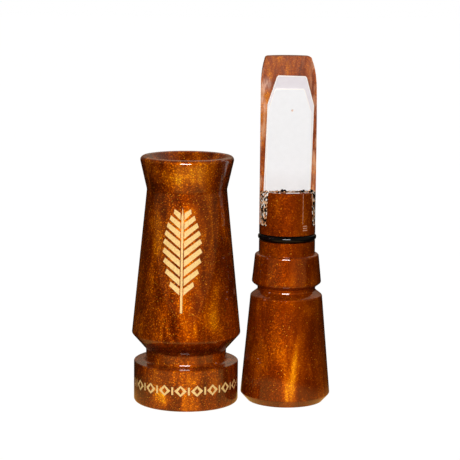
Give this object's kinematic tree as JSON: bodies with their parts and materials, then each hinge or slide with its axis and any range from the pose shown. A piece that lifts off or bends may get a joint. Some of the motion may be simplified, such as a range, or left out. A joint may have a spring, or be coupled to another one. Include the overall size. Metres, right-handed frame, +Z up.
{
  "type": "duck call",
  "caption": "Duck call taken apart: a flared barrel standing beside its insert, with a tone board, reeds wedged by cork and an O-ring on the tenon.",
  "frame": {"origin": "under the middle of the standing pair, on the surface it stands on", "axes": "+Z up along both halves, +X from the barrel to the insert, -Y towards the side with the feather and the reeds"},
  "size_m": [0.0564, 0.0308, 0.0977],
  "materials": {
    "acrylic": "polished amber-brown acrylic with gold pearl",
    "gold_fill": "pale gold paint filler",
    "guide_fill": "bare engraved line",
    "seal": "greased black rubber",
    "lower_film": "frosted clear film",
    "upper_film": "frosted white film",
    "cork": "speckled ground cork"
  },
  "bodies": {
    "insert_body": {"insert": "acrylic", "o_ring": "seal", "guide_mark": "guide_fill"},
    "barrel_body": {"barrel": "acrylic", "feather_inlay": "gold_fill", "band_inlay": "gold_fill"},
    "cork_body": {"cork_wedge": "cork"},
    "lower_reed_body": {"lower_reed": "lower_film"},
    "upper_reed_body": {"upper_reed": "upper_film"}
  },
  "joints": [
    {"name": "barrel_lift", "type": "slide", "parent": "insert_body", "child": "barrel_body", "axis": [0, 0, 1], "range_m": [0, 0.11]},
    {"name": "cork_pull", "type": "slide", "parent": "insert_body", "child": "cork_body", "axis": [0, 0, 1], "range_m": [0, 0.012]},
    {"name": "lower_reed_flex", "type": "hinge", "parent": "cork_body", "child": "lower_reed_body", "pos_m": [0.01551, 0.00192, 0.0601], "axis": [0.9956, 0.0941, 0], "range_deg": [0, 6], "stiffness_Nm_per_rad": 0.007, "deforming": ["lower_reed"]},
    {"name": "upper_reed_flex", "type": "hinge", "parent": "cork_body", "child": "upper_reed_body", "pos_m": [0.01551, 0.00192, 0.0601], "axis": [0.9956, 0.0941, 0], "range_deg": [0, 6], "stiffness_Nm_per_rad": 0.007, "deforming": ["upper_reed"]}
  ],
  "couplings": [
    {"joint": "upper_reed_flex", "follows": "lower_reed_flex", "ratio": 1}
  ]
}
